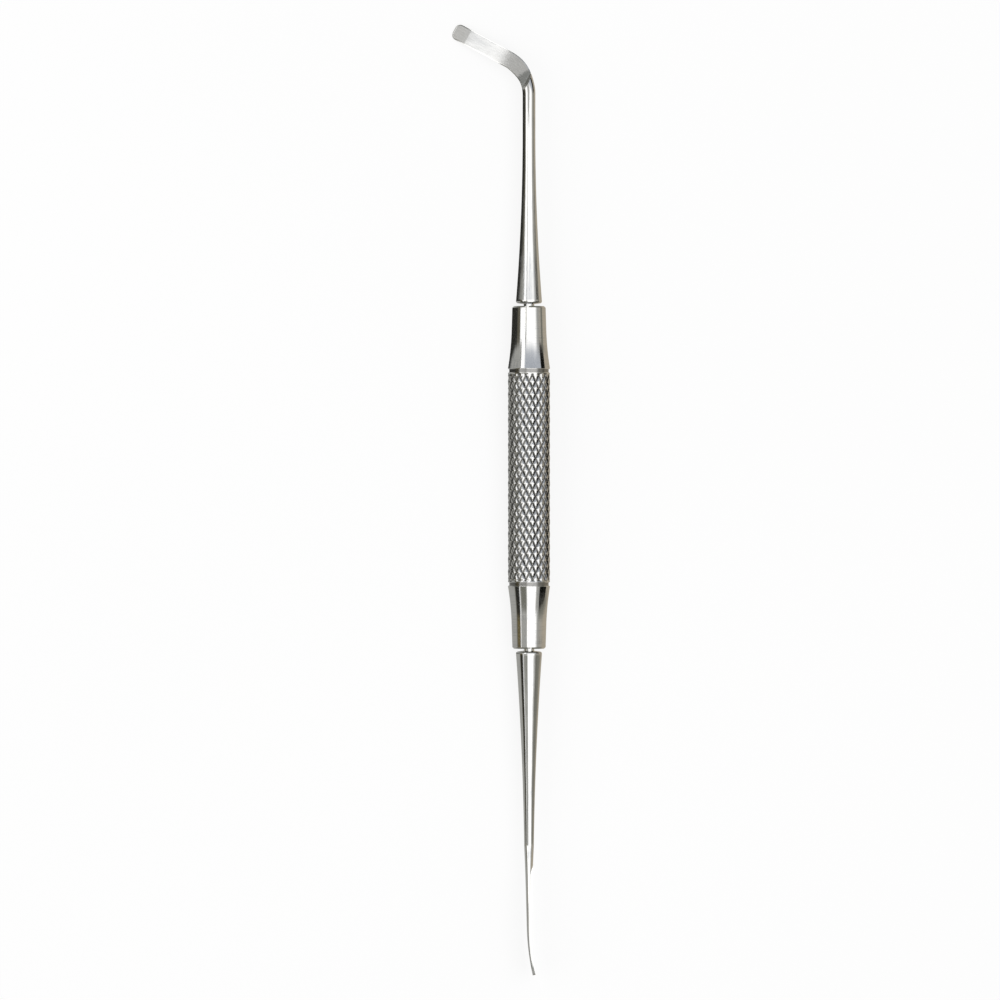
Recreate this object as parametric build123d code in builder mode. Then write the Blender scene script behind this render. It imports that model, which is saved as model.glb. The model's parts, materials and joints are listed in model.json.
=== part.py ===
from build123d import *
from math import asin, atan2, cos, degrees, hypot, radians, sin
import os

# A double-ended periosteal elevator of polished stainless steel, lying on a table.
# Lengths are in millimetres. The instrument's axis is Y: the angled end points along
# +Y and the long end along -Y. The origin is on that axis, in the middle of the grip.

# Handle, one turned bar with a cone at each end
grip_diameter = 8.0
grip_length = 40.0
ring_groove_width = 0.6
ring_groove_depth = 0.25
cone_length = 12.0
cone_end_diameter = 6.35
cone_waist_length = 4.5
cone_waist_diameter = 6.6
cone_end_chamfer = 0.3
edge_break = 0.15

# Seat of each end in the handle: a thin tang that stands on the floor of a blind bore
tang_diameter = 2.0
tang_seat_length = 9.0
tang_clearance = 0.02
tang_chamfer = 0.25
neck_gap = 0.4

# Base of each end, where the shank stands proud of the neck
base_diameter = 5.0
base_dome = 0.2
base_round = 0.45

# Angled end: a flared shank with a parallel part, a forged bend, and a blade ground on one side
angled_shank_length = 39.9
angled_shank_diameter = 2.42
angled_shank_hollow = 0.32
parallel_length = 7.3
bend_radius = 7.7
bend_angle = 61.4
blade_length = 11.65
blade_width = 3.06
tip_width = 3.14
tip_height = 1.02
tip_drop = 0.66
tip_corner_radius = 1.1
ground_length = 16.4
ground_height = 0.15
ground_bow = 0.5
scoop_radius = 0.5
scoop_slope = 60.0
bevel_length = 2.9
bevel_drop = 0.36

# Long end: a round shank flattened to a thin leaf, whose point curls to one side
long_shank_length = 37.0
long_shank_diameter = 1.84
long_shank_hollow = 0.27
leaf_length = 24.8
leaf_width = 4.8
leaf_point_thickness = 0.56
leaf_point_radius = 2.1
curl_length = 9.3
curl_radius = 43.0

# What is left on each blank beyond its point, and trimmed off, and how much wider the
# trimming outline is than the blank, so that it only cuts the corners
trim = 0.8
trim_clearance = 0.04

# Radii, and places along the axis counted from the middle of the grip
grip_radius = grip_diameter / 2
cone_end_radius = cone_end_diameter / 2
tang_radius = tang_diameter / 2
base_radius = base_diameter / 2
cone_start = grip_length / 2 + ring_groove_width
cone_tip = cone_start + cone_length
base_start = cone_tip + neck_gap
tang_end = cone_tip - tang_seat_length
angled_shank_end = base_start + angled_shank_length
long_shank_end = base_start + long_shank_length

# The blade's directions and its point, before the instrument is rolled to its rest
turn = radians(bend_angle)
to_tip = Vector(-sin(turn), cos(turn), 0)
to_outer_edge = Vector(cos(turn), sin(turn), 0)
bend_centre = Vector(-bend_radius, angled_shank_end, 0)
blade_tip = bend_centre + to_outer_edge * bend_radius + to_tip * blade_length

# The instrument lies rolled about its axis, on the grip and on the blade's lower corner
corner_reach = (tip_width / 2 - tip_corner_radius) * cos(turn) - blade_tip.X
corner_drop = tip_drop + 0.41 * tip_height
roll = asin(grip_radius / hypot(corner_reach, corner_drop)) - atan2(corner_drop, corner_reach)
lying = Location((0, 0, 0), (0, -degrees(roll), 0))


def rolled(plane):
    """Where a plane of the upright instrument comes to lie."""
    return Plane(lying * plane.location)


def half_end(plane, shank_radius, flare_length, hollow):
    """Half the outline of a tang, neck, base and flare, to be turned about the plane's y axis."""
    flare_end = base_start + flare_length
    base_corner = (base_radius, base_start + base_dome)
    shank_corner = (shank_radius, flare_end)
    with BuildSketch(rolled(plane)) as outline:
        with BuildLine():
            Polyline(
                (0, flare_end),
                (0, tang_end),
                (tang_radius - tang_chamfer, tang_end),
                (tang_radius, tang_end + tang_chamfer),
                (tang_radius, base_start),
                base_corner,
            )
            SagittaArc(base_corner, shank_corner, hollow)
            Line(shank_corner, (0, flare_end))
        make_face()
        fillet(outline.vertices().sort_by(Axis.X)[-1], base_round)
    return outline.sketch


def across_bend(degrees_turned, run, drop):
    """Plane across the angled end, x to the inside of the bend and y to the ground side."""
    angle = radians(degrees_turned)
    outwards = Vector(cos(angle), sin(angle), 0)
    onwards = Vector(-sin(angle), cos(angle), 0)
    middle = bend_centre + outwards * bend_radius + onwards * run - Vector(0, 0, drop)
    return rolled(Plane(middle, x_dir=-outwards, z_dir=onwards))


def across_leaf(run):
    """Plane across the long end's leaf, x along the leaf's width and y along its thickness."""
    straight = min(run, leaf_length - curl_length)
    curl = (run - straight) / curl_radius
    middle = Vector(curl_radius * (1 - cos(curl)), -long_shank_end - straight - curl_radius * sin(curl), 0)
    return rolled(Plane(middle, x_dir=(0, 0, 1), z_dir=(sin(curl), -cos(curl), 0)))


# Handle: half of it is turned and bored, then mirrored about the middle of the grip
with BuildPart() as handle:
    with BuildSketch(rolled(Plane.XY)) as cone_profile:
        with BuildLine():
            waist = (cone_waist_diameter / 2, cone_tip - cone_waist_length)
            rim = (grip_radius, cone_start + edge_break)
            Polyline(
                (0, cone_tip),
                (0, 0),
                (grip_radius, 0),
                (grip_radius, grip_length / 2 - edge_break),
                (grip_radius - edge_break, grip_length / 2),
                (grip_radius - ring_groove_depth, grip_length / 2),
                (grip_radius - ring_groove_depth, cone_start),
                (grip_radius - edge_break, cone_start),
                rim,
            )
            TangentArc(waist, rim, tangent=(waist[0] - cone_end_radius, -cone_waist_length))
            Polyline(waist, (cone_end_radius, cone_tip), (0, cone_tip))
        make_face()
        chamfer(cone_profile.vertices().group_by(Axis.Y)[-1].sort_by(Axis.X)[-1], cone_end_chamfer)
    revolve(axis=Axis.Y)
    with Locations(Plane((0, cone_tip, 0), x_dir=(1, 0, 0), z_dir=(0, 1, 0))):
        Hole(tang_radius + tang_clearance, depth=tang_seat_length)
    mirror(about=Plane.XZ)

# Cross sections of the angled blank before it is ground: the turn of the bend, the run
# beyond it, the width, the height, and how far the middle is let down
angled_sections = [
    (0, 0, angled_shank_diameter, angled_shank_diameter, 0),
    (bend_angle / 3, 0, 1.05 * angled_shank_diameter, 0.98 * angled_shank_diameter, 0),
    (bend_angle * 2 / 3, 0, 1.26 * angled_shank_diameter, 0.91 * angled_shank_diameter, 0),
    (bend_angle, 0, 1.28 * angled_shank_diameter, 0.80 * angled_shank_diameter, 0),
    (bend_angle, 0.45 * blade_length, blade_width, 0.74 * angled_shank_diameter, 0.08 * tip_drop),
    (bend_angle, 0.80 * blade_length, 0.99 * tip_width, 0.60 * angled_shank_diameter, 0.45 * tip_drop),
    (bend_angle, blade_length + trim, tip_width, tip_height, tip_drop),
]

# Angled end: the turned flare, the parallel part and a blank lofted round the bend, then
# the ground face with its scooped run-out and bevel, and the rounded corners of the point
with BuildPart() as angled_end:
    angled_flare_length = angled_shank_length - parallel_length
    revolve(half_end(Plane.XY, angled_shank_diameter / 2, angled_flare_length, angled_shank_hollow), axis=Axis.Y)
    with BuildSketch(across_bend(0, 0, 0)):
        Circle(angled_shank_diameter / 2)
    extrude(amount=-parallel_length)
    for degrees_turned, run, width, height, drop in angled_sections:
        with BuildSketch(across_bend(degrees_turned, run, drop)):
            Ellipse(width / 2, height / 2)
    loft()
    with BuildSketch(rolled(Plane(blade_tip, x_dir=-to_tip, z_dir=-to_outer_edge))):
        with BuildLine():
            face_end = (ground_length, ground_height)
            face_start = (bevel_length, ground_height - ground_bow)
            scoop = JernArc(face_end, (1, 0), scoop_radius, scoop_slope)  # the run-out of the grinding wheel
            clear_of_shank = scoop @ 1 + (scoop % 1) * angled_shank_diameter
            TangentArc(face_end, face_start, tangent=(-1, 0))
            Polyline(
                face_start,
                (0, face_start[1] - bevel_drop),
                (-trim, face_start[1] - bevel_drop),
                (-trim, clear_of_shank.Y),
                clear_of_shank,
                scoop @ 1,
            )
        make_face()
    extrude(amount=3 * tip_width, both=True, mode=Mode.SUBTRACT)
    with BuildSketch(rolled(Plane(blade_tip, x_dir=-to_tip, z_dir=(0, 0, 1)))):
        with Locations((tip_corner_radius, 0)):
            Rectangle(tip_corner_radius + 2 * trim, 2 * tip_width, align=(Align.MAX, Align.CENTER))
        with Locations((blade_length / 2, 0)):
            RectangleRounded(blade_length, tip_width + trim_clearance, tip_corner_radius, mode=Mode.SUBTRACT)
    extrude(amount=3 * grip_radius, both=True, mode=Mode.SUBTRACT)

# Cross sections of the leaf, each of two arcs that meet at the leaf's edges: the run beyond
# the shank, the width and the thickness
leaf_sections = [
    (0, long_shank_diameter, long_shank_diameter),
    (0.20 * leaf_length, 0.60 * leaf_width, 0.78 * long_shank_diameter),
    (0.42 * leaf_length, 0.82 * leaf_width, 0.61 * long_shank_diameter),
    (0.65 * leaf_length, 0.96 * leaf_width, 0.45 * long_shank_diameter),
    (0.84 * leaf_length, leaf_width, 0.36 * long_shank_diameter),
    (leaf_length + trim, 0.98 * leaf_width, leaf_point_thickness),
]

# Long end: the turned shank, then the leaf lofted along its curl and rounded at its point
with BuildPart() as long_end:
    downwards = Plane((0, 0, 0), x_dir=(1, 0, 0), z_dir=(0, 0, -1))
    revolve(half_end(downwards, long_shank_diameter / 2, long_shank_length, long_shank_hollow), axis=Axis.Y)
    for run, width, thickness in leaf_sections:
        with BuildSketch(across_leaf(run)):
            with BuildLine():
                SagittaArc((-width / 2, 0), (width / 2, 0), thickness / 2)
                SagittaArc((width / 2, 0), (-width / 2, 0), thickness / 2)
            make_face()
    loft()
    point = across_leaf(leaf_length)
    with BuildSketch(Plane(point.origin, x_dir=-point.z_dir, z_dir=point.y_dir)):
        with Locations((leaf_point_radius, 0)):
            Rectangle(leaf_point_radius + 2 * trim, 2 * leaf_width, align=(Align.MAX, Align.CENTER))
        with Locations((leaf_length / 2, 0)):
            RectangleRounded(leaf_length, leaf_width + trim_clearance, leaf_point_radius, mode=Mode.SUBTRACT)
    extrude(amount=grip_radius, both=True, mode=Mode.SUBTRACT)

os.makedirs("parts", exist_ok=True)
handle.part.label = "handle"
export_step(handle.part, "parts/handle.step")
angled_end.part.label = "angled_end"
export_step(angled_end.part, "parts/angled_end.step")
long_end.part.label = "long_end"
export_step(long_end.part, "parts/long_end.step")
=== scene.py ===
"""A double-ended periosteal elevator of polished steel, lying on a pale table.

The instrument's axis is Y. Each end is first worked out lying flat, with x to the
picture's right, y to its top and z towards the camera, and then rolled about its axis
to the place where it comes to rest.
"""

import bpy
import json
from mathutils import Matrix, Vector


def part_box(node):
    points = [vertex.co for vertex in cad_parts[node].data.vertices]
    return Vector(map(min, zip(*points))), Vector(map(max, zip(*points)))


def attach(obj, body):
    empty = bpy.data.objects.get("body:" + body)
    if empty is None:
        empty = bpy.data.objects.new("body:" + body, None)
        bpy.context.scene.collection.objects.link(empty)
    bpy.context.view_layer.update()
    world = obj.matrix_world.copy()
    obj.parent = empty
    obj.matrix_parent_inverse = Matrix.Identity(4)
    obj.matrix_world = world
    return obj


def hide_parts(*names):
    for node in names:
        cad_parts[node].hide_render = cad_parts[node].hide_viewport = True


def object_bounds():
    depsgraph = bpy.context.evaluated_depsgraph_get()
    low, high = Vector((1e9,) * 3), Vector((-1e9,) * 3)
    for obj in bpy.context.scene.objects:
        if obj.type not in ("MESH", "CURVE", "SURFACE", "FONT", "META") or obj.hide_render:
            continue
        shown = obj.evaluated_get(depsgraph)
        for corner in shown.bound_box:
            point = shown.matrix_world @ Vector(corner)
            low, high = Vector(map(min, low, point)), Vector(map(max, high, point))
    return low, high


bl_info = {
    "name": "Periosteal Elevator",
    "version": (1, 0, 0),
    "blender": (4, 5, 0),
    "location": "3D View > Sidebar > Elevator",
    "description": "Builds a knurled steel handle, its two working ends and a small photo stage",
    "category": "Add Mesh",
}

import json
import math

import bpy
import numpy as np
from mathutils import Matrix, Vector

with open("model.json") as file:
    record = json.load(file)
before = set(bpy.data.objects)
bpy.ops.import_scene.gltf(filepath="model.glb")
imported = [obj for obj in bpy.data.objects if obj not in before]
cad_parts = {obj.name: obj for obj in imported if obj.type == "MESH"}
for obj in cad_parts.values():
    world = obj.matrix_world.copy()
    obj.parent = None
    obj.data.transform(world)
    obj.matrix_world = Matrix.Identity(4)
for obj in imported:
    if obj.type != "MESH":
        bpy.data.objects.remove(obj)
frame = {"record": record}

MM = 0.001
GRIP_MILLIMETRES = frame["record"]["mounts"][0]["dims"]["r_mm"] * 2
HANDLE_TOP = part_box("handle")[1]
ANGLED_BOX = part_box("angled_end")
LEAF_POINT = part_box("long_end")[0].y
FLOOR_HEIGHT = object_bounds()[0].z

# The ends' meshes: their steps round, the rings that close a point as shares of its last
# ring, what a blank has beyond its point, and how softly the corners and the face cut it
END_COLUMNS = 160
CAP_SHARES = np.array([0.97, 0.7, 0.35])
TRIM = 0.8 * MM
CORNER_BLEND = 0.04 * MM
FACE_BLEND = 0.05 * MM
SHARP_ANGLE = math.radians(22)

PICTURE_PIXELS = 1000
PLAIN_WHITE = (1.0, 1.0, 1.0, 1.0)
CARD_WHITE = (1.5, 1.5, 1.5)


# Properties that a user can change


def number(name, value, description, **more):
    """A number that isn't negative."""
    return bpy.props.FloatProperty(name=name, description=description, default=value, min=0.0, **more)


def length(name, millimetres, description):
    """A size, written in millimetres and kept in metres."""
    return number(name, millimetres * MM, description, precision=5, unit="LENGTH")


def angle(name, degrees, description):
    """An angle, written in degrees and kept in radians."""
    return number(name, math.radians(degrees), description, subtype="ANGLE")


def share(name, value, description):
    """A number from 0 to 1."""
    return number(name, value, description, max=1.0, subtype="FACTOR")


def colour(name, value, description):
    """A linear colour."""
    return bpy.props.FloatVectorProperty(
        name=name, description=description, default=value, min=0.0, max=1.0, size=3, subtype="COLOR"
    )


class HandleSizes(bpy.types.PropertyGroup):
    """The turned handle: a knurled grip between two hollow-flared cones."""

    grip_diameter: length("Grip diameter", GRIP_MILLIMETRES, "Across the knurl's lands")
    grip_length: length("Grip length", 40.0, "Between the two ring grooves")
    groove_width: length("Groove width", 0.6, "Of the ring groove at each end of the grip")
    groove_depth: length("Groove depth", 0.25, "Of the ring groove at each end of the grip")
    cone_end_diameter: length("Cone end diameter", 6.35, "Of the narrow end of a cone")
    waist_diameter: length("Waist diameter", 6.6, "Where the straight cone turns into the flare")
    waist_length: length("Waist length", 4.5, "Of the straight part of a cone")
    cone_end_chamfer: length("Cone end chamfer", 0.3, "Broken edge of the narrow end")
    edge_break: length("Edge break", 0.15, "Broken edges beside the ring groove")
    bore_diameter: length("Bore diameter", 2.04, "Of the blind bore that takes a tang")
    knurl_depth: length("Knurl depth", 0.2, "From the lands down to the bottom of a groove")
    knurl_starts: bpy.props.IntProperty(
        name="Knurl starts", description="Grooves of one hand round the grip", default=18, min=6
    )
    knurl_helix: angle("Knurl helix", 30.0, "Of the grooves to the axis")


class SeatSizes(bpy.types.PropertyGroup):
    """What both ends share: the tang in the bore, the neck and the domed base."""

    tang_diameter: length("Tang diameter", 2.0, "Of the pin that stands in the bore")
    tang_chamfer: length("Tang chamfer", 0.25, "At the tang's end")
    neck_gap: length("Neck gap", 0.4, "Between the cone and the base")
    base_diameter: length("Base diameter", 5.0, "Where the shank is thickest")
    base_dome: length("Base dome", 0.2, "How far the base's rim stands back from its neck")
    base_round: length("Base round", 0.45, "Radius of the base's rim")


class AngledEndSizes(bpy.types.PropertyGroup):
    """The shank, the forged bend and the ground blade."""

    shank_length: length("Shank length", 39.9, "From the base to the bend")
    shank_diameter: length("Shank diameter", 2.42, "Where the bend starts")
    shank_hollow: length("Shank hollow", 0.32, "How far the flare bows inwards")
    parallel_length: length("Parallel length", 7.3, "Of the shank's even part before the bend")
    bend_radius: length("Bend radius", 7.7, "Of the shank's centre line")
    bend_angle: angle("Bend angle", 61.4, "From the shank to the blade")
    blade_length: length("Blade length", 11.65, "From the bend to the point")
    blade_width: length("Blade width", 3.06, "Half way along the blade")
    tip_width: length("Tip width", 3.14, "Of the blade's point")
    tip_height: length("Tip height", 1.02, "Of the blank at the point, before it is ground")
    tip_drop: length("Tip drop", 0.66, "How far the blank's middle falls towards the point")
    tip_corner: length("Tip corner", 1.1, "Radius of the point's two corners")
    ground_length: length("Ground length", 16.4, "Of the ground face, from the point")
    ground_height: length("Ground height", 0.15, "Of the face over the shank's axis, where it starts")
    ground_bow: length("Ground bow", 0.5, "How far the face falls on its way to the bevel")
    scoop_radius: length("Scoop radius", 0.5, "Of the grinding wheel's run-out")
    scoop_slope: angle("Scoop slope", 60.0, "At which the run-out leaves the shank")
    bevel_length: length("Bevel length", 2.9, "Of the bevel at the point")
    bevel_drop: length("Bevel drop", 0.36, "How far the bevel falls")
    rim_width: length("Rim width", 0.24, "Of the ground face's softened rim")
    rim_drop: length("Rim drop", 0.09, "How far the softened rim falls")


class LongEndSizes(bpy.types.PropertyGroup):
    """The shank and the thin leaf with its curl."""

    shank_length: length("Shank length", 37.0, "From the base to the leaf")
    shank_diameter: length("Shank diameter", 1.84, "Where the leaf starts")
    shank_hollow: length("Shank hollow", 0.27, "How far the flare bows inwards")
    leaf_length: length("Leaf length", 24.8, "Measured along its curl")
    leaf_width: length("Leaf width", 4.8, "Where the leaf is widest")
    point_thickness: length("Point thickness", 0.56, "Of the leaf at its point")
    point_corner: length("Point corner", 2.1, "Radius of the leaf's two corners")
    curl_length: length("Curl length", 9.3, "Of the part that curls")
    curl_radius: length("Curl radius", 43.0, "Of the curl")
    honed_length: length("Honed length", 8.0, "Of the part at the point that is honed to a satin")


class SteelFinish(bpy.types.PropertyGroup):
    """Colours and roughness of the steel."""

    bright: colour("Bright steel", (0.78, 0.775, 0.76), "Of the polished steel")
    shaded: colour("Shaded steel", (0.50, 0.52, 0.55), "Of the scratched and turned patches")
    ground: colour("Ground steel", (0.74, 0.735, 0.72), "Of the ground face")
    # The scooped steel's dark colour is painted shade, a dark reflection put into the colour
    scoop_painted_shade: colour("Scooped steel", (0.33, 0.335, 0.32), "Of the coarse end of the ground face")
    # The grooves' colour is painted shade and dirt at the bottoms of the knurl's grooves
    grooves: colour("Grooves", (0.16, 0.155, 0.145), "Of the bottoms of the knurl's grooves")
    polish: share("Polish", 0.09, "Roughness of the polished steel")
    satin: share("Satin", 0.15, "Roughness of the ground face")


class StageSettings(bpy.types.PropertyGroup):
    """The camera, the lamps and the floor."""

    camera_distance: length("Camera distance", 1500.0, "From the instrument")
    picture_width: length("Picture width", 190.4, "What the picture takes in at the instrument")
    axis_pixel: number("Axis pixel", 529.0, "Column of the instrument's axis in the picture")
    top_pixel: number("Top pixel", 24.5, "Row of the instrument's highest point in the picture")
    floor_size: length("Floor size", 6000.0, "Side of the floor")
    ambient: share("Ambient light", 0.50, "Strength of the world's soft light")
    lamp_strength: number("Lamp strength", 1.4, "Brightness of a softbox, where 1 is white")
    whiteness: share("Background whiteness", 0.84, "How far the floor is whitened where it is seen")
    tent_radius: length("Tent radius", 1000.0, "Of the tent that the polished steel reflects")


class ElevatorSettings(bpy.types.PropertyGroup):
    """All the settings, by what they belong to."""

    handle: bpy.props.PointerProperty(type=HandleSizes)
    seat: bpy.props.PointerProperty(type=SeatSizes)
    angled_end: bpy.props.PointerProperty(type=AngledEndSizes)
    long_end: bpy.props.PointerProperty(type=LongEndSizes)
    steel: bpy.props.PointerProperty(type=SteelFinish)
    stage: bpy.props.PointerProperty(type=StageSettings)


# Curves and outlines


def arc(start, end, sagitta, count):
    """Points on the circular arc from start to end, whose middle stands off the chord by the sagitta.

    The arc is at its left, seen along the chord, where the sagitta is positive. The half
    angle is twice the arc tangent of the sagitta over half the chord.
    """
    start, end = np.array(start, float), np.array(end, float)
    chord = np.linalg.norm(end - start)
    along = (end - start) / chord
    left = np.array([-along[1], along[0]])
    half_angle = 2 * math.atan2(abs(sagitta), chord / 2)
    radius = chord / (2 * math.sin(half_angle))
    angle = np.linspace(-half_angle, half_angle, count)[:, None]
    run = chord / 2 + radius * np.sin(angle)
    rise = radius * (np.cos(angle) - math.cos(half_angle)) * math.copysign(1, sagitta)
    return start + along * run + left * rise


def tangent_arc(start, end, direction, count):
    """The circular arc that leaves start in a direction and ends at end.

    The angle between a chord and the tangent is half the arc's angle, so the sagitta is
    half the chord times the tangent of half that angle.
    """
    chord = np.subtract(end, start)
    turn = math.atan2(
        direction[0] * chord[1] - direction[1] * chord[0], direction[0] * chord[0] + direction[1] * chord[1]
    )
    return arc(start, end, -np.linalg.norm(chord) / 2 * math.tan(turn / 2), count)


def line(start, end, count):
    """Evenly spaced points on a straight line."""
    return np.linspace(start, end, count)


def rounded(before, corner, after, radius, count):
    """Points that round a corner off, on the parabola that touches both of its sides.

    It starts and ends where a circle of that radius would touch the sides.
    """
    before, corner, after = (np.array(point, float) for point in (before, corner, after))
    back = (before - corner) / np.linalg.norm(before - corner)
    on = (after - corner) / np.linalg.norm(after - corner)
    reach = radius / math.tan(math.acos(float(back @ on)) / 2)
    t = np.linspace(0, 1, count)[:, None]
    return (1 - t) ** 2 * (corner + back * reach) + 2 * t * (1 - t) * corner + t**2 * (corner + on * reach)


def through(knots, values, at):
    """A smooth curve through values at knots: cubics that share their slope at each knot.

    The slope at an inner knot is the mean of the slopes on its two sides, each weighted
    by the length of the other side, and at an outer knot it is its one side's slope.
    """
    knots, values = np.array(knots, float), np.array(values, float)
    gaps = np.diff(knots)
    slopes = np.diff(values) / gaps
    inner = (slopes[:-1] * gaps[1:] + slopes[1:] * gaps[:-1]) / (gaps[:-1] + gaps[1:])
    tangents = np.concatenate([slopes[:1], inner, slopes[-1:]])
    piece = np.clip(np.searchsorted(knots, at, side="right") - 1, 0, len(gaps) - 1)
    t = (at - knots[piece]) / gaps[piece]
    return (
        values[piece] * (1 + 2 * t) * (1 - t) ** 2
        + tangents[piece] * gaps[piece] * t * (1 - t) ** 2
        + values[piece + 1] * t**2 * (3 - 2 * t)
        + tangents[piece + 1] * gaps[piece] * t**2 * (t - 1)
    )


def smooth_step(low, high, value):
    """0 below low, 1 above high, and a cubic with level ends between them."""
    t = np.clip((value - low) / (high - low), 0, 1)
    return t * t * (3 - 2 * t)


def soft_minimum(first, second, blend):
    """The lower of two heights, rounded off by a parabola where they differ by less than blend."""
    overlap = np.maximum(blend - np.abs(first - second), 0)
    return np.minimum(first, second) - overlap**2 / (4 * blend)


# Meshes


def point_attribute(mesh, name, kind, field, values):
    """Keeps a value for each point of a tube's rings, and an end ring's mean for each end point."""
    ends = [values[0].mean(0), values[-1].mean(0)]
    values = np.concatenate([values.reshape(-1, *values.shape[2:]), ends])
    mesh.attributes.new(name, kind, "POINT").data.foreach_set(field, values.astype(np.float32).ravel())


def tube_mesh(name, rings, start, end, straight, ground, shifted_rows=None):
    """A tube through rings of points, with a fan of triangles to a point at each end.

    rings has one row of points for each ring. Two rings are joined by two triangles
    for each step round, split along the shorter way where a row is shifted by half a step.
    straight and ground are what the steel reads as attributes: the place before bending,
    kept in millimetres, and the grinding, which runs from 1 on a ground face to 2 where it
    is coarse and painted darker as shade. On the handle it is how deep a point lies in the knurl,
    from 0 to 1, which the steel paints darker as shade and dirt.
    """
    rows, columns = rings.shape[:2]
    if shifted_rows is None:
        shifted_rows = np.zeros(rows, bool)
    row, column = np.meshgrid(np.arange(rows - 1), np.arange(columns), indexing="ij")
    here = row * columns + column
    beside = row * columns + (column + 1) % columns
    above = here + columns
    above_beside = beside + columns
    shifted = shifted_rows[:-1, None, None]
    lower = np.where(shifted, np.dstack([here, above_beside, above]), np.dstack([here, beside, above]))
    upper = np.where(
        shifted, np.dstack([here, beside, above_beside]), np.dstack([beside, above_beside, above])
    )
    first, last = rows * columns, rows * columns + 1
    around = np.arange(columns)
    next_around = (around + 1) % columns
    top = (rows - 1) * columns
    start_fan = np.column_stack([np.full(columns, first), next_around, around])
    end_fan = np.column_stack([np.full(columns, last), top + around, top + next_around])
    faces = np.concatenate([lower.reshape(-1, 3), upper.reshape(-1, 3), start_fan, end_fan])
    points = np.concatenate([rings.reshape(-1, 3), [start], [end]])
    corners = points[faces]
    if np.einsum("ij,ij->", corners[:, 0], np.cross(corners[:, 1], corners[:, 2])) < 0:
        faces = faces[:, ::-1]

    mesh = bpy.data.meshes.new(name)
    mesh.vertices.add(len(points))
    mesh.vertices.foreach_set("co", points.astype(np.float32).ravel())
    mesh.loops.add(faces.size)
    mesh.loops.foreach_set("vertex_index", faces.astype(np.int32).ravel())
    mesh.polygons.add(len(faces))
    mesh.polygons.foreach_set("loop_start", np.arange(0, faces.size, 3, dtype=np.int32))
    mesh.update(calc_edges=True)
    mesh.shade_smooth()
    mesh.set_sharp_from_angle(angle=SHARP_ANGLE)
    point_attribute(mesh, "straight", "FLOAT_VECTOR", "vector", straight / MM)
    point_attribute(mesh, "ground", "FLOAT", "value", ground)
    mesh.validate()
    return mesh


def linked(name, data):
    """A new object in the scene, for a mesh, a lamp or a camera."""
    made = bpy.data.objects.new(name, data)
    bpy.context.scene.collection.objects.link(made)
    return made


def add_piece(name, mesh, material, node):
    """Puts a mesh into the scene for a CAD node, with its material."""
    piece = linked(name, mesh)
    mesh.materials.append(material)
    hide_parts(node)
    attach(piece, "root")


def resting_roll(angled):
    """How far the instrument rolls about its axis to lie on the grip and on the blade's corner.

    Seen along the axis, the line from the axis to the corner leans by the corner's drop
    over its reach, and the roll that is left brings the corner level with the grip.
    """
    outer_edge = Vector((math.cos(angled.bend_angle), math.sin(angled.bend_angle)))
    tip_x = -angled.bend_radius + outer_edge.x * angled.bend_radius - outer_edge.y * angled.blade_length
    reach = (angled.tip_width / 2 - angled.tip_corner) * outer_edge.x - tip_x
    corner_share = 0.41  # of the tip's height, from its middle down to where the corner touches
    drop = angled.tip_drop + corner_share * angled.tip_height
    grip_radius = bpy.context.scene.elevator.handle.grip_diameter / 2
    return math.asin(grip_radius / math.hypot(reach, drop)) - math.atan2(drop, reach)


def rolled(points):
    """Turns points about the axis by the resting roll, x towards z, and leaves none below the floor."""
    roll = resting_roll(bpy.context.scene.elevator.angled_end)
    x, y, z = points[..., 0], points[..., 1], points[..., 2]
    height = np.maximum(x * math.sin(roll) + z * math.cos(roll), FLOOR_HEIGHT)
    return np.stack([x * math.cos(roll) - z * math.sin(roll), y, height], axis=-1)


def steps_round(columns):
    """Even steps of the angle round a ring."""
    return np.arange(columns) * 2 * math.pi / columns


def turned_rings(profile, columns, shift=0):
    """Rings of a turned shape about Y, from (radius, height) points, each shifted by its half steps."""
    angle = steps_round(columns) + np.reshape(shift, (-1, 1)) * math.pi / columns
    radius = profile[:, 0][:, None]
    height = np.broadcast_to(profile[:, 1][:, None], (len(profile), columns))
    return np.stack([radius * np.cos(angle), height, radius * np.sin(angle)], axis=-1)


# Handle


def cone_profile(sizes):
    """Outline of one cone, from the grip's edge to the middle of the bore's floor."""
    radius, half_grip, end = sizes.grip_diameter / 2, sizes.grip_length / 2, HANDLE_TOP.y
    start = half_grip + sizes.groove_width
    floor_radius = radius - sizes.groove_depth
    waist = (sizes.waist_diameter / 2, end - sizes.waist_length)
    rim = (radius, start + sizes.edge_break)
    end_radius, chamfer, bore = sizes.cone_end_diameter / 2, sizes.cone_end_chamfer, sizes.bore_diameter / 2
    direction = (waist[0] - end_radius, -sizes.waist_length)
    wall_lean, beside_wall, bore_break = 0.02 * MM, 0.06 * MM, 0.1 * MM
    bore_floor = ANGLED_BOX[0].y
    return np.concatenate(
        [
            [(radius - sizes.edge_break, half_grip), (floor_radius, half_grip + wall_lean)],
            line((floor_radius, half_grip + beside_wall), (floor_radius, start - beside_wall), 4),
            [(floor_radius, start - wall_lean), (radius - sizes.edge_break, start)],
            tangent_arc(waist, rim, direction, 44)[::-1],
            line(waist, (end_radius, end - chamfer), 18)[1:],
            line((end_radius - chamfer, end), (bore + bore_break, end), 5),
            [(bore, end - bore_break)],
            line((bore, end - 3 * bore_break), (bore, bore_floor), 12),
            [(0.4 * bore, bore_floor)],
        ]
    )


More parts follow.
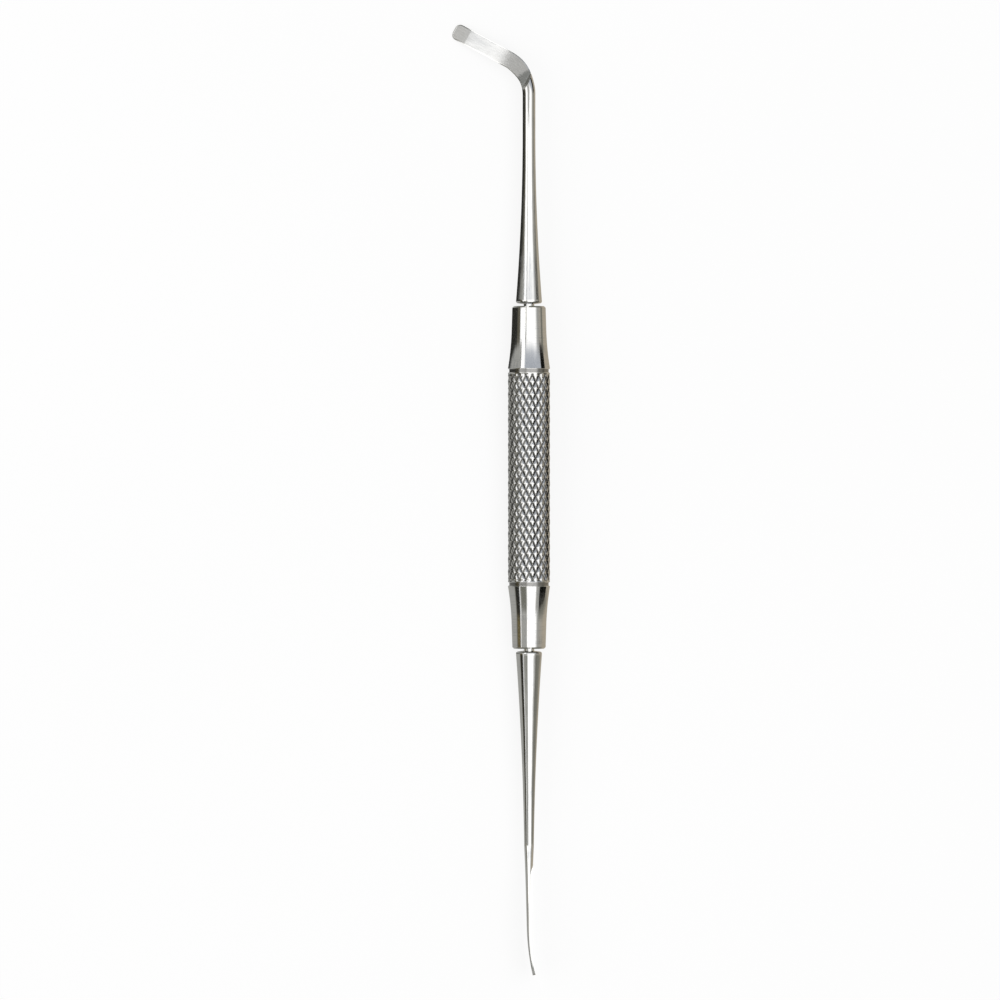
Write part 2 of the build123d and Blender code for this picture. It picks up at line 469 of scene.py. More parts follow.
def knurl(points, sizes):
    """Moves points in to cut a diamond knurl, and says how deep each point lies, from 0 to 1.

    Two helices of grooves cross, one of each hand. The distance to the nearest groove of
    each is a triangle wave of the turn round the axis plus or minus the travel along it,
    and the height is the lower of the two waves, cut off flat at the lands.
    """
    land_share = 0.31
    end_fade = 0.35 * MM
    angle = np.arctan2(points[..., 2], points[..., 0])
    y = points[..., 1]
    turn = sizes.knurl_starts * angle / (2 * math.pi)
    travel = y / knurl_pitch(sizes)
    to_right = np.abs((turn + travel + 0.5) % 1 - 0.5)
    to_left = np.abs((turn - travel + 0.5) % 1 - 0.5)
    height = np.clip(np.minimum(to_right, to_left) / land_share, 0, 1)
    inside = smooth_step(0, end_fade, sizes.grip_length / 2 - sizes.edge_break - np.abs(y))
    deep = (1 - height) * inside
    radius = np.hypot(points[..., 0], points[..., 2])
    scale = (radius - sizes.knurl_depth * deep) / radius
    return points * np.stack([scale, np.ones_like(scale), scale], axis=-1), deep


def knurl_pitch(sizes):
    """Travel along the axis between grooves: their pitch round the grip over the helix's tangent."""
    return math.pi * sizes.grip_diameter / sizes.knurl_starts / math.tan(sizes.knurl_helix)


class ELEVATOR_OT_handle(bpy.types.Operator):
    """Builds the turned and knurled handle with a bore at each end"""

    bl_idname = "elevator.handle"
    bl_label = "Handle"

    def execute(self, context):
        settings = context.scene.elevator
        sizes = settings.handle
        steps_per_groove = 8
        columns = sizes.knurl_starts * steps_per_groove
        row_step = knurl_pitch(sizes) / (2 * steps_per_groove)
        grip_rows = int((sizes.grip_length / 2 - sizes.edge_break) / row_step)
        grip = np.column_stack(
            [np.full(grip_rows + 1, sizes.grip_diameter / 2), np.arange(grip_rows + 1) * row_step]
        )
        grip_edge = [(sizes.grip_diameter / 2, sizes.grip_length / 2 - sizes.edge_break)]
        upper = np.concatenate([grip, grip_edge, cone_profile(sizes)])
        profile = np.concatenate([upper[:0:-1] * (1, -1), upper])
        from_middle = np.abs(np.arange(len(profile)) - len(upper) + 1)
        shift = from_middle % 2
        rings = turned_rings(profile, columns, shift)
        on_grip = from_middle <= grip_rows
        cut, deep = knurl(rings[on_grip], sizes)
        rings[on_grip] = cut
        depth = np.zeros(rings.shape[:2])
        depth[on_grip] = deep
        beyond_grip = np.abs(profile[:, 1]) - sizes.grip_length / 2
        in_ring_groove = (beyond_grip > 0) & (beyond_grip < sizes.groove_width)
        # The ring grooves count as deep, so the steel paints them darker with the knurl grooves' painted
        # shade and dirt
        depth[in_ring_groove] = 0.8
        floor = ANGLED_BOX[0].y
        mesh = tube_mesh(
            "knurled_handle", rolled(rings), (0, -floor, 0), (0, floor, 0), rings, depth, shift.astype(bool)
        )
        add_piece("knurled_handle", mesh, handle_steel(settings.steel), "handle")
        return {"FINISHED"}


# Ends


def half_end_profile(seat, shank_radius, flare_length, hollow):
    """Outline of a tang, neck, base and flare, from the tang's end to the end of the flare."""
    tang_radius, base_radius = seat.tang_diameter / 2, seat.base_diameter / 2
    tang_end, base_start = ANGLED_BOX[0].y, HANDLE_TOP.y + seat.neck_gap
    corner = (base_radius, base_start + seat.base_dome)
    flare = arc(corner, (shank_radius, base_start + flare_length), hollow, 90)
    rim = rounded((tang_radius, base_start), corner, flare[1], seat.base_round, 12)
    chamfer, beside_edge = seat.tang_chamfer, 0.05 * MM
    return np.concatenate(
        [
            [(0.5 * tang_radius, tang_end)],
            line((tang_radius - chamfer, tang_end), (tang_radius, tang_end + chamfer), 3),
            line((tang_radius, tang_end + 2 * chamfer), (tang_radius, base_start - beside_edge), 16),
            line((tang_radius, base_start), rim[0], 6)[:-1],
            rim,
            flare[flare[:, 1] > rim[-1][1] + 2 * beside_edge],
        ]
    )


def ground_height_at(u, sizes):
    """Height of the ground face at a distance u from the point towards the shank.

    From the point it climbs the bevel's straight line, then a circular arc that is level
    at the face's end, then the scoop: an arc that steepens to the scoop's slope, and a
    straight line on at that slope.
    """
    run = sizes.ground_length - sizes.bevel_length
    bow_radius = (run**2 + sizes.ground_bow**2) / (2 * sizes.ground_bow)
    past = np.clip(sizes.ground_length - u, 0, run)
    face = sizes.ground_height - bow_radius + np.sqrt(bow_radius**2 - past**2)
    face = face - sizes.bevel_drop * np.clip(1 - u / sizes.bevel_length, 0, None)
    into_scoop = np.maximum(u - sizes.ground_length, 0)
    arc_end = sizes.scoop_radius * math.sin(sizes.scoop_slope)
    scoop = sizes.scoop_radius - np.sqrt(sizes.scoop_radius**2 - np.minimum(into_scoop, arc_end) ** 2)
    return face + scoop + np.maximum(into_scoop - arc_end, 0) * math.tan(sizes.scoop_slope)


def corner_half_width(u, width, corner):
    """Half the width of an outline at a distance u from its end, whose corners have that radius."""
    into = np.clip(corner - u, 0, corner)
    return width / 2 - corner + np.sqrt(corner**2 - into**2)


def flattened_rod(turn, width, thickness):
    """Section of a rod that was rolled flat, as its height out and its place across, by the turn round it.

    A wide arc crosses each face and a tight one rounds each edge. They meet with a common
    tangent, at the height that an eighth of a turn has on a round rod, and each is run
    through evenly by its own angle. Where width and thickness are equal it is a circle.
    """
    half_thickness, half_width = thickness / 2, width / 2
    crown = half_thickness * (1 - math.sqrt(0.5))
    meeting_out = half_thickness - crown
    overhang = half_width - half_thickness
    meeting_across = (overhang + np.hypot(overhang, 2 * np.sqrt(crown * (meeting_out + half_width)))) / 2
    face_radius = (meeting_across**2 + crown**2) / (2 * crown)
    edge_depth = half_width - meeting_across
    edge_radius = (meeting_out**2 + edge_depth**2) / (2 * edge_depth)
    eighths = np.arcsin(np.abs(np.sin(turn))) * 4 / math.pi
    on_face = np.minimum(eighths, 1) * np.arcsin(meeting_across / face_radius)
    on_edge = np.minimum(2 - eighths, 1) * np.arcsin(meeting_out / edge_radius)
    face = eighths < 1
    out = np.where(face, half_thickness - face_radius * (1 - np.cos(on_face)), edge_radius * np.sin(on_edge))
    across = np.where(face, face_radius * np.sin(on_face), half_width - edge_radius * (1 - np.cos(on_edge)))
    return np.sign(np.cos(turn)) * out, np.sign(np.sin(turn)) * across


def joined(shank, blade, straight):
    """A shank's and a blade's rings, capped at the point, with their straight places and the cap's middle."""
    middle = blade[-1].mean(0)
    cap = middle + (blade[-1] - middle) * CAP_SHARES[:, None, None]
    places = np.concatenate([shank, straight, np.repeat(straight[-1:], len(CAP_SHARES), axis=0)])
    return np.concatenate([shank, blade, cap]), places, middle


class ELEVATOR_OT_angled_end(bpy.types.Operator):
    """Builds the angled end: tang, base, shank, bend and ground blade"""

    bl_idname = "elevator.angled_end"
    bl_label = "Angled end"

    def execute(self, context):
        settings = context.scene.elevator
        sizes = settings.angled_end
        d, turn, bend_radius = sizes.shank_diameter, sizes.bend_angle, sizes.bend_radius
        flare_length = sizes.shank_length - sizes.parallel_length
        flare = half_end_profile(settings.seat, d / 2, flare_length, sizes.shank_hollow)
        shank_end = flare[-1][1] + sizes.parallel_length
        profile = np.concatenate([flare, line(flare[-1], (d / 2, shank_end), 14)[1:]])
        shank = turned_rings(profile, END_COLUMNS)[:-1]

        # The blank's sections, at even runs along the bend and the blade and closer ones at its point
        blade_length, bend_run = sizes.blade_length, bend_radius * turn
        total = bend_run + blade_length
        close_up = total - 1.2 * MM
        run = np.concatenate(
            [
                np.linspace(0, bend_run, 170, endpoint=False),
                np.linspace(bend_run, close_up, 110, endpoint=False),
                np.linspace(close_up, total, 48),
            ]
        )[:, None]
        past_bend = bend_run + np.array([0.45 * blade_length, 0.80 * blade_length, blade_length + TRIM])
        knots = [0, bend_run / 3, bend_run * 2 / 3, bend_run, *past_bend]
        tip_width, tip_drop = sizes.tip_width, sizes.tip_drop
        width = through(
            knots, [d, 1.05 * d, 1.26 * d, 1.28 * d, sizes.blade_width, 0.99 * tip_width, tip_width], run
        )
        height = through(knots, [d, 0.98 * d, 0.91 * d, 0.80 * d, 0.74 * d, 0.60 * d, sizes.tip_height], run)
        drop = through(knots, [0, 0, 0, 0, 0.08 * tip_drop, 0.45 * tip_drop, tip_drop], run)

        angle = np.minimum(run / bend_radius, turn)
        beyond = np.maximum(run - bend_run, 0)
        round_about = steps_round(END_COLUMNS)
        left_to_run = total - run
        limit = corner_half_width(left_to_run, tip_width, sizes.tip_corner)
        across = width / 2 * np.cos(round_about)
        across = np.sign(across) * soft_minimum(np.abs(across), limit, CORNER_BLEND)
        reach = bend_radius + across
        x = -bend_radius + reach * np.cos(angle) - beyond * np.sin(angle)
        y = shank_end + reach * np.sin(angle) + beyond * np.cos(angle)
        blank = height / 2 * np.sin(round_about) - drop

        # The ground face takes off what stands over it, and falls away along its rim
        outer_edge = np.array([math.cos(turn), math.sin(turn)])
        to_tip = np.array([-math.sin(turn), math.cos(turn)])
        point = np.array([-bend_radius, shank_end]) + outer_edge * bend_radius + to_tip * blade_length
        from_point = (point[0] - x) * to_tip[0] + (point[1] - y) * to_tip[1]
        face = ground_height_at(from_point, sizes)
        brink = np.minimum(np.minimum(limit, width / 2) - np.abs(across), left_to_run)
        rim = np.clip(1 - brink / sizes.rim_width, 0, 1) ** 2 * sizes.rim_drop
        z = soft_minimum(blank, face - rim, FACE_BLEND)
        blade = np.stack([x, y, z], axis=-1)

        # The grinding is coarse in the scoop, and less so up the scoop's wall, and the steel gives the scoop
        # a darker colour that is painted shade
        coarse_to, coarse_from, face_edge = 5.4 * MM, 3.4 * MM, 0.03 * MM
        wall_from, wall_to = sizes.ground_length + 0.2 * MM, sizes.ground_length + 0.45 * MM
        in_scoop = smooth_step(coarse_to, coarse_from, run)
        on_wall = smooth_step(wall_from, wall_to, from_point)
        ground = smooth_step(-face_edge, face_edge, blank - face) * (1 + in_scoop - 0.6 * on_wall)
        ground = np.pad(ground, ((len(shank), len(CAP_SHARES)), (0, 0)))

        straight = np.stack([across, np.broadcast_to(shank_end + run, across.shape), z], axis=-1)
        rings, straight, middle = joined(shank, blade, straight)
        mesh = tube_mesh(
            "angled_blade_and_shank", rolled(rings), (0, profile[0][1], 0), rolled(middle), straight, ground
        )
        add_piece("angled_blade_and_shank", mesh, end_steel(settings.steel), "angled_end")
        return {"FINISHED"}


class ELEVATOR_OT_long_end(bpy.types.Operator):
    """Builds the long end: tang, base, shank and curled leaf"""

    bl_idname = "elevator.long_end"
    bl_label = "Long end"

    def execute(self, context):
        settings = context.scene.elevator
        sizes = settings.long_end
        d, leaf, curl_radius = sizes.shank_diameter, sizes.leaf_length, sizes.curl_radius
        profile = half_end_profile(settings.seat, d / 2, sizes.shank_length, sizes.shank_hollow)
        shank = turned_rings(profile * (1, -1), END_COLUMNS)[:-1]
        shank_end = -profile[-1][1]

        # The leaf's sections, at even runs along it and ever closer ones at its point
        close_up = 2.2 * MM
        closer = close_up * (1 - np.linspace(0, 1, 60)) ** 1.5
        run = np.concatenate([np.linspace(0, leaf - close_up, 170, endpoint=False), leaf - closer])[:, None]
        knots = np.array([0, 0.20, 0.42, 0.65, 0.84, 1 + TRIM / leaf]) * leaf
        full = sizes.leaf_width
        width = through(knots, [d, 0.60 * full, 0.82 * full, 0.96 * full, full, 0.98 * full], run)
        thickness = through(knots, [d, 0.78 * d, 0.61 * d, 0.45 * d, 0.36 * d, sizes.point_thickness], run)
        out, full_across = flattened_rod(steps_round(END_COLUMNS), width, thickness)
        limit = corner_half_width(leaf - run, full, sizes.point_corner)
        across = np.sign(full_across) * soft_minimum(np.abs(full_across), limit, CORNER_BLEND)

        straight_run = np.minimum(run, leaf - sizes.curl_length)
        curl = (run - straight_run) / curl_radius
        x = curl_radius * (1 - np.cos(curl)) + out * np.cos(curl)
        y = shank_end - straight_run - curl_radius * np.sin(curl) + out * np.sin(curl)
        blade = np.stack([x, y, across], axis=-1)
        straight = np.stack([out, np.broadcast_to(shank_end - run, out.shape), across], axis=-1)
        rings, straight, middle = joined(shank, blade, straight)

        # The honing comes in over the far part of its length, and is nearly as coarse as the scoop, so
        # patches of it take the scoop's painted shade
        honed_finish, fully_honed = 1.65, 0.15 * sizes.honed_length
        from_point = straight[..., 1] - (shank_end - leaf)
        honed = honed_finish * smooth_step(sizes.honed_length, fully_honed, from_point)
        mesh = tube_mesh(
            "leaf_and_shank", rolled(rings), (0, -profile[0][1], 0), rolled(middle), straight, honed
        )
        add_piece("leaf_and_shank", mesh, end_steel(settings.steel), "long_end")
        return {"FINISHED"}


# Shader maths


class Socket:
    """An output socket that Python's operators work on, each adding its Math node."""

    def __init__(self, recipe, socket):
        self.recipe = recipe
        self.socket = socket

    def __add__(self, other):
        return self.recipe.maths("ADD", self, other)

    def __sub__(self, other):
        return self.recipe.maths("SUBTRACT", self, other)

    def __mul__(self, other):
        return self.recipe.maths("MULTIPLY", self, other)

    def __rsub__(self, other):
        return self.recipe.maths("SUBTRACT", other, self)

    __radd__ = __add__
    __rmul__ = __mul__


class Recipe:
    """The nodes of one material or world."""

    def __init__(self, owner):
        owner.use_nodes = True
        self.tree = owner.node_tree
        self.tree.nodes.clear()

    def add(self, kind, sockets=None, output=0, **settings):
        """Adds a node of a type, with its settings set first, then the values or links of its sockets."""
        node = self.tree.nodes.new(kind)
        for name, value in settings.items():
            setattr(node, name, value)
        for key, value in (sockets or {}).items():
            if isinstance(value, Socket):
                self.tree.links.new(value.socket, node.inputs[key])
            else:
                node.inputs[key].default_value = value
        return Socket(self, node.outputs[output]) if len(node.outputs) else node

    def maths(self, operation, first, second):
        """The output of a Math node on two values."""
        return self.add("ShaderNodeMath", {0: first, 1: second}, operation=operation)

    def attribute(self, name, output):
        """A mesh attribute, as its vector or its number."""
        return self.add("ShaderNodeAttribute", output=output, attribute_name=name)

    def stretched(self, vector, scale):
        """A vector with each direction scaled by itself."""
        return self.add("ShaderNodeVectorMath", {0: vector, 1: scale}, operation="MULTIPLY")

    def noise(self, vector, scale, detail=2.0, roughness=0.5):
        """Noise from 0 to 1 on a vector."""
        sockets = {"Vector": vector, "Scale": scale, "Detail": detail, "Roughness": roughness}
        return self.add("ShaderNodeTexNoise", sockets)

    def step(self, value, low, high, at_low=0.0, at_high=1.0):
        """Turns a value from low to high into one from at_low to at_high, with level ends."""
        return self.add(
            "ShaderNodeMapRange",
            {"Value": value, "From Min": low, "From Max": high, "To Min": at_low, "To Max": at_high},
            interpolation_type="SMOOTHSTEP",
        )

    def ramp(self, value, stops):
        """A colour that runs through stops of (place, colour) as a value goes from 0 to 1."""
        made = self.add("ShaderNodeValToRGB", {"Fac": value})
        ramp = made.socket.node.color_ramp
        ramp.elements[0].position, ramp.elements[1].position = stops[0][0], stops[-1][0]
        for place, _ in stops[1:-1]:
            ramp.elements.new(place)
        for element, (_, tone) in zip(ramp.elements, stops):
            element.color = (*tone, 1.0)
        return made

    def mix(self, factor, first, second):
        """A colour between two colours."""
        first, second = (c if isinstance(c, Socket) else (*c, 1.0) for c in (first, second))
        return self.add("ShaderNodeMix", {0: factor, 6: first, 7: second}, output=2, data_type="RGBA")


# Steel


def steel(name, finish, turned_share, colour_of, relief):
    """Polished steel with streaks along the instrument, turning marks round it and scuffed patches.

    All of it follows the place that each point had before bending, in millimetres. A long
    low wave in the surface bends the edges of what it reflects.
    colour_of returns the base colour and roughness, and relief a height to add.
    """
    material = bpy.data.materials.new(name)
    recipe = Recipe(material)
    straight = recipe.attribute("straight", "Vector")
    hairlines = recipe.noise(recipe.stretched(straight, (14.0, 0.35, 14.0)), 1.0, 3.0, 0.6)
    streaks = recipe.noise(recipe.stretched(straight, (3.4, 0.16, 3.4)), 1.0, 2.0, 0.55)
    rings = recipe.noise(recipe.stretched(straight, (0.25, 5.0, 0.25)), 1.0, 3.0, 0.65)
    patches = recipe.noise(straight, 0.30, 2.0, 0.5)
    scuffed = recipe.step(patches, 0.42, 0.62)
    marks = (recipe.step(hairlines, 0.50, 0.70) * 0.4 + recipe.step(streaks, 0.48, 0.68) * 0.6) * scuffed
    marks = marks * 0.75 + recipe.step(rings, 0.48, 0.72) * turned_share * 0.35
    colours = recipe.mix(marks, finish.bright, finish.shaded)
    base, roughness = colour_of(recipe, straight, colours, finish.polish + marks * 0.18)
    wave = recipe.noise(recipe.stretched(straight, (0.55, 0.14, 0.55)), 1.0, 1.0, 0.4)
    waved = recipe.add("ShaderNodeBump", {"Strength": 1.0, "Distance": 0.03 * MM, "Height": wave})
    height = hairlines * 0.3 + streaks * 0.5 * scuffed + rings * turned_share * 0.5 + relief(recipe, straight)
    sockets = {"Strength": 0.5, "Distance": 0.004 * MM, "Height": height, "Normal": waved}
    bump = recipe.add("ShaderNodeBump", sockets)
    sockets = {"Base Color": base, "Metallic": 1.0, "Roughness": roughness, "Normal": bump}
    shader = recipe.add("ShaderNodeBsdfPrincipled", sockets)
    recipe.add("ShaderNodeOutputMaterial", {"Surface": shader})
    return material


def handle_steel(finish):
    """The handle's steel: darker down in the knurl's grooves, with painted shade and dirt, and rougher there.
    """

    def colour_of(recipe, straight, colours, roughness):
        deep = recipe.attribute("ground", "Fac")
        # Painted shade and dirt: the deeper a point lies in a groove, the darker its colour
        groove_shade_and_dirt = recipe.step(deep, 0.25, 1.0) * (recipe.noise(straight, 3.0) * 0.3 + 0.75)
        return recipe.mix(groove_shade_and_dirt, colours, finish.grooves), roughness + deep * 0.12

    def relief(recipe, straight):
        return recipe.noise(straight, 6.0) * 0.2

    return steel("knurled_steel", finish, 1.0, colour_of, relief)


def end_steel(finish):
    """The ends' steel: a satin with fine lines where it is ground or honed, and coarser in the scoop, whose
    darker colour there is painted shade.
    """

    def colour_of(recipe, straight, colours, roughness):
        ground = recipe.attribute("ground", "Fac")
        lines = recipe.noise(recipe.stretched(straight, (5.0, 0.9, 1.5)), 1.0, 4.0, 0.65)
        face = recipe.step(ground, 0.0, 1.0)
        # Where the grinding is coarse the steel is rougher, and its colour turns to the scoop's painted shade
        coarse_and_painted_shade = recipe.step(ground + (lines - 0.5) * 1.2, 1.35, 1.85)
        shade = recipe.step(lines, 0.30, 0.70, 0.93, 1.08)
        sockets = {0: tuple(finish.ground), "Scale": shade}
        satin = recipe.add("ShaderNodeVectorMath", sockets, operation="SCALE")
        satin = recipe.mix(coarse_and_painted_shade, satin, finish.scoop_painted_shade)
        roughness = roughness * (1 - face) + face * (finish.satin + lines * 0.04 + coarse_and_painted_shade * 0.14)
        return recipe.mix(face, colours, satin), roughness

    def relief(recipe, straight):
        lines = recipe.noise(recipe.stretched(straight, (8.0, 1.0, 2.0)), 1.0, 2.0)
        return lines * recipe.step(recipe.attribute("ground", "Fac"), 0.0, 1.0) * 0.6

    return steel("end_steel", finish, 0.2, colour_of, relief)


# Stage


def view_frame():
    """The picture's right, up and towards the camera, in the scene."""
    roll = resting_roll(bpy.context.scene.elevator.angled_end)
    right = Vector((math.cos(roll), 0, math.sin(roll)))
    toward = Vector((-math.sin(roll), 0, math.cos(roll)))
    return right, Vector((0, 1, 0)), toward


def panel_mesh(name, corners):
    """A flat panel from its four corners, in order round it."""
    mesh = bpy.data.meshes.new(name)
    mesh.from_pydata([tuple(corner) for corner in corners], [], [(0, 1, 2, 3)])
    panel = linked(name, mesh)
    return panel


def only_reflected(piece, glow):
    """Lights a piece by itself in the colour that glow makes, and shows it in polished steel alone."""
    material = bpy.data.materials.new(piece.name)
    recipe = Recipe(material)
    light = recipe.add("ShaderNodeEmission", {"Color": glow(recipe), "Strength": 1.0})
    recipe.add("ShaderNodeOutputMaterial", {"Surface": light})
    material.cycles.emission_sampling = "NONE"
    piece.data.materials.append(material)
    piece.visible_camera = False
    piece.visible_diffuse = False
    piece.visible_shadow = False
    piece.visible_transmission = False


def small_card(name, places, tone):
    """A card near the instrument, by its corners to the right, up and towards the camera."""
    right, up, toward = view_frame()
    card = panel_mesh(name, [right * x + up * y + toward * z for x, y, z in places])
    only_reflected(card, lambda recipe: (*tone, 1.0))


def leaf_cards(side_tone, point_tone):
    """Two upright cards that lighten what the leaf reflects, on its right side and at its point.

    The first leans from beside the leaf to right behind it, the second stands beyond the point.
    """
    beside, in_front, behind = 7 * MM, 5 * MM, 40 * MM
    low, high, left, top = LEAF_POINT - 6 * MM, LEAF_POINT + 20 * MM, -6 * MM, 25 * MM
    side = [(beside, low, in_front), (beside, high, in_front), (0, high, -behind), (0, low, -behind)]
    small_card("leaf_side_card", side, side_tone)
    beyond = [(left, low, -in_front), (beside, low, -in_front), (beside, low, top), (left, low, top)]
    small_card("leaf_point_card", beyond, point_tone)


def beside_blade(along, across, height):
    """A place in millimetres from the bend's end: on towards the point, out from the bend, and up."""
    elevator = bpy.context.scene.elevator
    angled = elevator.angled_end
    shank_end = HANDLE_TOP.y + elevator.seat.neck_gap + angled.shank_length
    outer_edge = Vector((math.cos(angled.bend_angle), math.sin(angled.bend_angle)))
    to_tip = Vector((-outer_edge.y, outer_edge.x))
    place = Vector((-angled.bend_radius, shank_end)) + outer_edge * (angled.bend_radius + across * MM)
    return (*(place + to_tip * along * MM), height * MM)


def flag(name, start, end, tone):
    """A level card over the blade that darkens what the ground face reflects between two places."""
    side, top = 9, 24
    corners = ((start, -side, top), (start, side, top), (end, side, top), (end, -side, top))
    small_card(name, [beside_blade(*corner) for corner in corners], tone)


def rim_card(name, across, start, end, tone):
    """An upright card at one side of the blade that lightens what that side's rim reflects."""
    top = 24
    corners = ((start, across, 0), (end, across, 0), (end, across, top), (start, across, top))
    small_card(name, [beside_blade(*corner) for corner in corners], tone)


def sphere_mesh(name, radius, columns=64, rows=32):
    """A sphere about the origin: a circle's points by latitude and longitude, closed at its two poles."""
    latitude = np.linspace(-math.pi / 2, math.pi / 2, rows + 1)[1:-1, None]
    longitude = steps_round(columns)
    level = np.broadcast_to(np.sin(latitude), (rows - 1, columns))
    rings = radius * np.stack(
        [np.cos(latitude) * np.cos(longitude), level, np.cos(latitude) * np.sin(longitude)], axis=-1
    )
    return tube_mesh(name, rings, (0, -radius, 0), (0, radius, 0), rings, np.zeros(rings.shape[:2]))


def tent_tones(recipe, radius):
    """What the polished steel reflects, by direction.

    The tent's walls change tone with the angle round the axis, in degrees from the camera
    towards the right: white in front, grey and then sand to the right, olive and then grey
    to the left. Soft-edged cards hang over them. Each covers an angle round the axis and
    an angle along it, from the long end's side to the angled end's. The tent's two ends
    are in shade, and noise bends the edges of the tones.
    """
    black, dark = (0.008, 0.008, 0.007), (0.028, 0.028, 0.024)
    olive, gold, sand = (0.12, 0.11, 0.08), (0.17, 0.14, 0.07), (0.46, 0.41, 0.33)
    shade, grey, blue_grey = (0.20, 0.20, 0.17), (0.41, 0.41, 0.39), (0.50, 0.53, 0.58)
    beige, white = (0.70, 0.68, 0.60), CARD_WHITE
    walls = [
        (-180, grey), (-95, grey), (-82, olive), (-62, olive), (-57, white), (40, white), (58, grey),
        (110, sand), (180, sand),
    ]
    # Each card's tone, its angles round and along the axis, and how softly it ends each way
    cards = [
        (dark, (-190, -84), (-0.5, 9.8), (2, 1)),
        (shade, (86, 102), (-0.5, 9.8), (4, 1)),
        (beige, (-22, -17), (0, 11), (1.5, 2)),
        (shade, (-24, -20), (7.5, 14), (1.5, 1)),
        (gold, (-84, -56), (-7.5, -0.5), (3, 1)),
        (grey, (-52, -14), (-9.8, 0), (4, 1)),
        (shade, (64, 128), (-9.8, -7), (8, 1.5)),
        (grey, (-190, -50), (9.8, 60), (2, 1)),
        (black, (-51, -47), (9.8, 60), (1.5, 1)),
        (dark, (-86, -56), (-60, -7.5), (3, 1)),
        (shade, (-52, -14), (-60, -9.8), (6, 1.5)),
        (blue_grey, (-26, 80), (12.5, 60), (5, 4.0)),
        (grey, (42, 64), (-60, -9.8), (6, 1)),
        (black, (70, 100), (9.8, 60), (2, 1)),
        (black, (64, 112), (-60, -9.8), (3, 1)),
    ]
    right, up, toward = view_frame()
    place = recipe.add("ShaderNodeTexCoord", output="Object")

    def along(direction):
        sockets = {0: place, 1: direction}
        return recipe.add("ShaderNodeVectorMath", sockets, output="Value", operation="DOT_PRODUCT")

    most_wobble, tent_end = 3.0, 40
    wobble = recipe.noise(place, 5.0 / radius, 3.0) * (2 * most_wobble) - most_wobble
    turn = recipe.maths("ARCTAN2", along(right), along(toward)) * math.degrees(1) + wobble
    lean = recipe.maths("ARCSINE", along(up) * (1 / radius), 0.0) * math.degrees(1) + wobble * 0.4

    def within(value, limits, softness):
        low, high = limits
        above = recipe.step(value, low - softness, low + softness)
        return above * (1 - recipe.step(value, high - softness, high + softness))

    tones = recipe.ramp(turn * (1 / 360) + 0.5, [((degrees + 180) / 360, tone) for degrees, tone in walls])
    for tone, turn_limits, lean_limits, softness in cards:
        covered = within(turn, turn_limits, softness[0]) * within(lean, lean_limits, softness[1])
        tones = recipe.mix(covered, tones, tone)
    return recipe.mix(within(lean, (-tent_end, tent_end), 10), shade, tones)


def standing(place, right, up, back):
    """The matrix of a lamp or a camera at a place, which looks away from its back."""
    return Matrix.Translation(place) @ Matrix((right, up, back)).transposed().to_4x4()


def softbox(name, angle, width, strength):
    """A soft lamp at an angle from the camera, in degrees towards the right, that faces the axis.

    An area lamp's power is its brightness times pi times its area.
    """
    distance, height = 0.9, 1.0
    right, up, toward = view_frame()
    back = right * math.sin(math.radians(angle)) + toward * math.cos(math.radians(angle))
    lamp = bpy.data.lights.new(name, "AREA")
    lamp.shape = "RECTANGLE"
    lamp.size, lamp.size_y = width, height
    lamp.energy = strength * math.pi * width * height
    holder = linked(name, lamp)
    holder.matrix_world = standing(back * distance, up.cross(back), up, back)
    holder.visible_glossy = False


def make_camera(settings):
    """A long lens that looks straight down on the bend's plane."""
    right, up, toward = view_frame()
    width = settings.picture_width
    scale, half = width / PICTURE_PIXELS, PICTURE_PIXELS / 2
    aim = right * (half - settings.axis_pixel) * scale
    aim += up * (ANGLED_BOX[1].y - (half - settings.top_pixel) * scale)
    data = bpy.data.cameras.new("camera")
    data.lens = data.sensor_width * settings.camera_distance / width
    data.clip_start, data.clip_end = 0.1, 20.0
    camera = linked("camera", data)
    camera.matrix_world = standing(aim + toward * settings.camera_distance, right, up, toward)
    bpy.context.scene.camera = camera


def seen_background(recipe):
    """1 where the background is seen by the camera, in gloss or through glass, and 0 where it only lights."""
    kinds = ("Camera", "Glossy", "Transmission")
    rays = [recipe.add("ShaderNodeLightPath", output=f"Is {kind} Ray") for kind in kinds]
    return recipe.step(rays[0] + rays[1] + rays[2], 0.0, 1.0)


def make_world(settings):
    """Plain white where it is seen, and softer as a light."""
    world = bpy.data.worlds.new("world")
    bpy.context.scene.world = world
    recipe = Recipe(world)
    strength = settings.ambient + seen_background(recipe) * (1 - settings.ambient)
    light = recipe.add("ShaderNodeBackground", {"Color": PLAIN_WHITE, "Strength": strength})
    recipe.add("ShaderNodeOutputWorld", {"Surface": light})


def make_floor(settings):
    """A plain pale floor at the height that the instrument rests on."""
    half = settings.floor_size / 2
    corners = ((-half, -half), (half, -half), (half, half), (-half, half))
    floor = panel_mesh("floor", [(x, y, FLOOR_HEIGHT) for x, y in corners])
    material = bpy.data.materials.new("pale_floor")
    recipe = Recipe(material)
    place = recipe.add("ShaderNodeTexCoord", output="Object")
    mottle = recipe.step(recipe.noise(place, 9.0), 0.3, 0.7)
    pale = recipe.mix(mottle, (0.93, 0.93, 0.93), (0.95, 0.95, 0.95))
    shader = recipe.add("ShaderNodeBsdfDiffuse", {"Color": pale, "Roughness": 0.5})
    white = recipe.add("ShaderNodeEmission", {"Color": PLAIN_WHITE, "Strength": 1.0})
    whitened = seen_background(recipe) * settings.whiteness
    surface = recipe.add("ShaderNodeMixShader", {0: whitened, 1: shader, 2: white})
    recipe.add("ShaderNodeOutputMaterial", {"Surface": surface})
    material.cycles.emission_sampling = "NONE"
    floor.data.materials.append(material)
    floor.visible_glossy = False


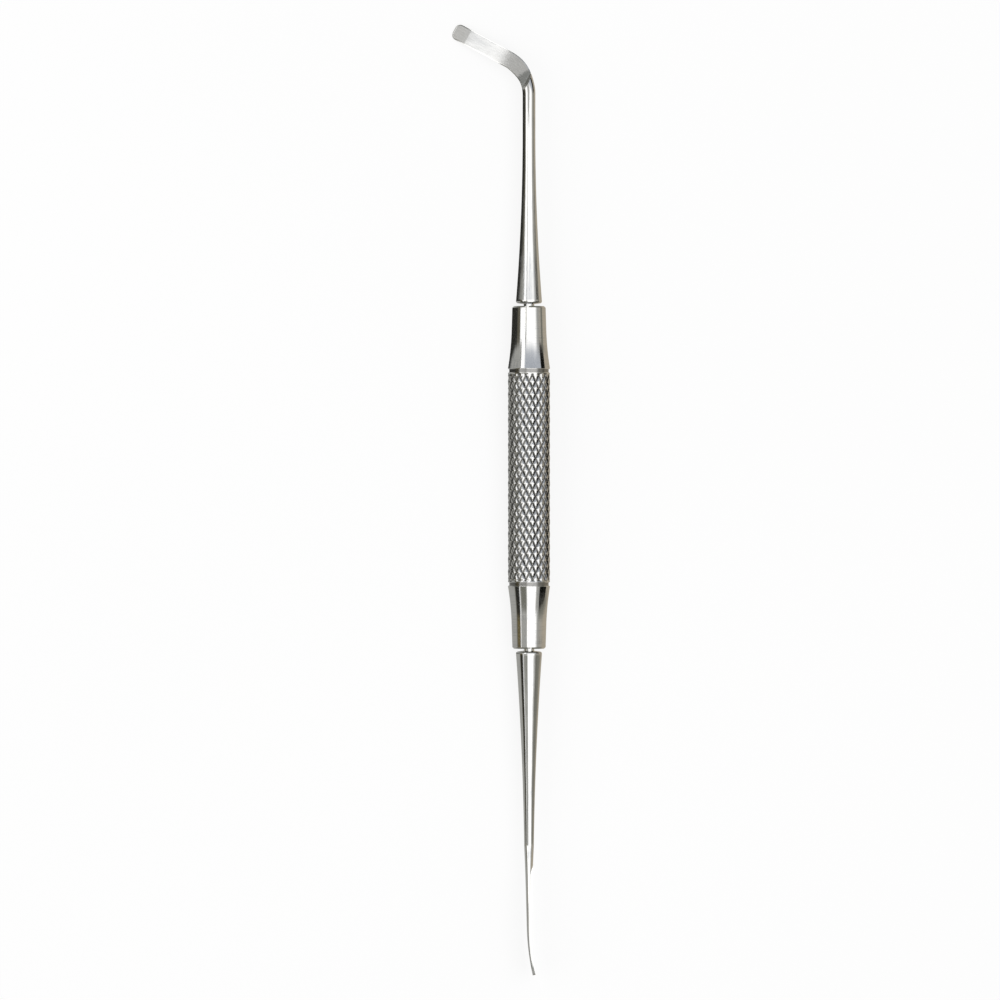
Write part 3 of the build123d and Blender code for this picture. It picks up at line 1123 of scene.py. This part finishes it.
class ELEVATOR_OT_stage(bpy.types.Operator):
    """Sets up the floor, the soft light, the reflection cards and the camera"""

    bl_idname = "elevator.stage"
    bl_label = "Stage"

    def execute(self, context):
        settings = context.scene.elevator.stage
        context.scene.view_settings.view_transform = "Standard"
        make_floor(settings)
        make_world(settings)
        make_camera(settings)
        softbox("softbox_left", -43, 0.62, settings.lamp_strength)
        softbox("softbox_right", 22, 0.80, settings.lamp_strength)
        tent = linked("light_tent", sphere_mesh("light_tent", settings.tent_radius))
        only_reflected(tent, lambda recipe: tent_tones(recipe, settings.tent_radius))
        flag("bend_flag", -10.0, 2.9, (0.53, 0.53, 0.52))
        flag("point_flag", 13.5, 27.0, (0.62, 0.62, 0.61))
        rim_card("outer_rim_card", 9, 1.5, 10.7, CARD_WHITE)
        rim_card("inner_rim_card", -6, 1.5, 11.1, CARD_WHITE)
        leaf_cards(CARD_WHITE, (0.6, 0.6, 0.58))
        return {"FINISHED"}


# Panel and registration


class ELEVATOR_PT_parts(bpy.types.Panel):
    """Lists the pieces of the elevator and its stage"""

    bl_idname = "ELEVATOR_PT_parts"
    bl_label = "Periosteal elevator"
    bl_space_type = "VIEW_3D"
    bl_region_type = "UI"
    bl_category = "Elevator"

    def draw(self, context):
        column = self.layout.column()
        for operator in OPERATORS:
            column.operator(operator.bl_idname)


GROUPS = (HandleSizes, SeatSizes, AngledEndSizes, LongEndSizes, SteelFinish, StageSettings, ElevatorSettings)
OPERATORS = (ELEVATOR_OT_handle, ELEVATOR_OT_angled_end, ELEVATOR_OT_long_end, ELEVATOR_OT_stage)


def register():
    for group in (*GROUPS, *OPERATORS, ELEVATOR_PT_parts):
        bpy.utils.register_class(group)
    bpy.types.Scene.elevator = bpy.props.PointerProperty(type=ElevatorSettings)


def unregister():
    del bpy.types.Scene.elevator
    for group in reversed((*GROUPS, *OPERATORS, ELEVATOR_PT_parts)):
        bpy.utils.unregister_class(group)


def main():
    """Builds everything in order."""
    register()
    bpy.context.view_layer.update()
    bpy.ops.elevator.handle()
    bpy.ops.elevator.angled_end()
    bpy.ops.elevator.long_end()
    bpy.ops.elevator.stage()


if __name__ == "__main__":
    main()
